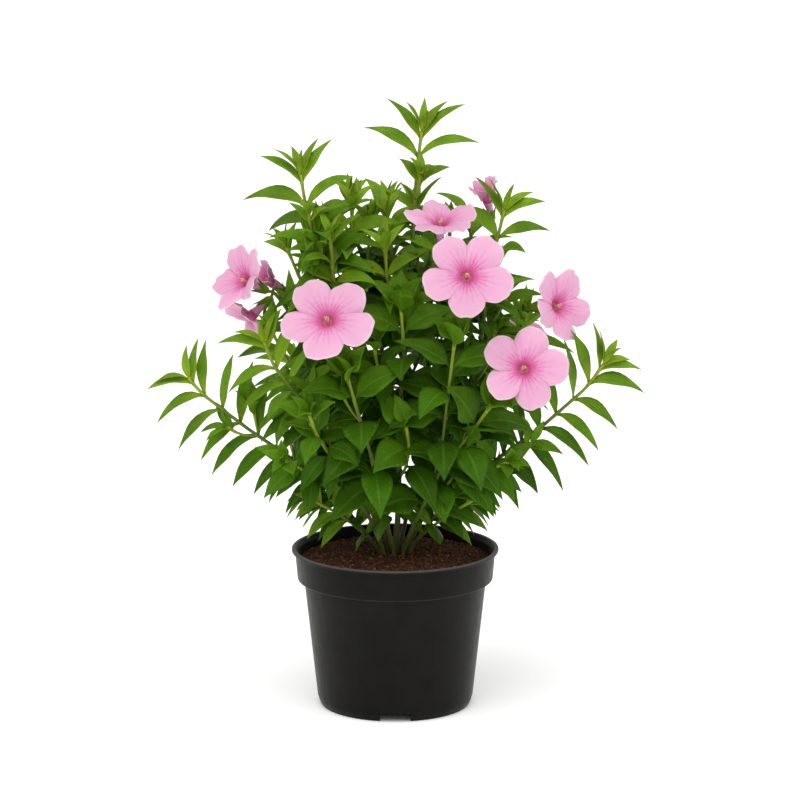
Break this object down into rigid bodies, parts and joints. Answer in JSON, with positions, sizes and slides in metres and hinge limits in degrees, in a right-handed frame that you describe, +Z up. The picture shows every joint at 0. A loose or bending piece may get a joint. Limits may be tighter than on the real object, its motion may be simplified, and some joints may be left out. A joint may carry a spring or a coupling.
{
  "type": "potted flowering plant",
  "caption": "Bushy upright flowering plant with slim pointed leaves and pink five-lobed trumpet flowers, growing in soil in a round black nursery pot with a stepped rim.",
  "frame": {"origin": "middle of the flat disc under the pot, on the surface that the pot stands on", "axes": "+Z up along the pot's axis, -Y towards the viewer, +X to the viewer's right"},
  "size_m": [0.3561, 0.2687, 0.4422],
  "materials": {
    "pot": "smooth black blown plastic with a low sheen and faint scuffs",
    "soil": "moist red-brown coco peat, granular and matt",
    "leaf": "satin green, yellow-green at the young tips and darker on old leaves",
    "petal": "soft matt pink, magenta in the throat",
    "stamen": "matt dusty pink, paler at the tips"
  },
  "bodies": {
    "root": {"pot": "pot", "soil": "soil", "corolla_top_centre": "petal", "stamens_top_centre": "stamen", "corolla_upper_right": "petal", "stamens_upper_right": "stamen", "corolla_front_left": "petal", "stamens_front_left": "stamen", "corolla_front_right_1": "petal", "stamens_front_right_1": "stamen", "corolla_front_right_2": "petal", "stamens_front_right_2": "stamen", "corolla_right_back": "petal", "stamens_right_back": "stamen", "corolla_left_back_1": "petal", "stamens_left_back_1": "stamen", "corolla_left_back_2": "petal", "stamens_left_back_2": "stamen", "corolla_left_back_3": "petal", "stamens_left_back_3": "stamen", "corolla_back_left": "petal", "stamens_back_left": "stamen", "corolla_back_right": "petal", "stamens_back_right": "stamen", "leafy_stem_top_centre": "leaf", "leafy_stem_upper_left": "leaf", "leafy_stem_upper_right": "leaf", "leafy_stem_right_lower": "leaf", "leafy_stem_left_lower": "leaf", "leafy_stem_left_mid": "leaf", "leafy_stem_front_left": "leaf", "leafy_stem_front_right": "leaf", "leafy_stem_centre_front": "leaf", "leafy_stem_right_back": "leaf", "leafy_stem_left_back": "leaf", "leafy_stem_back_left": "leaf", "leafy_stem_back_right": "leaf"}
  },
  "joints": []
}
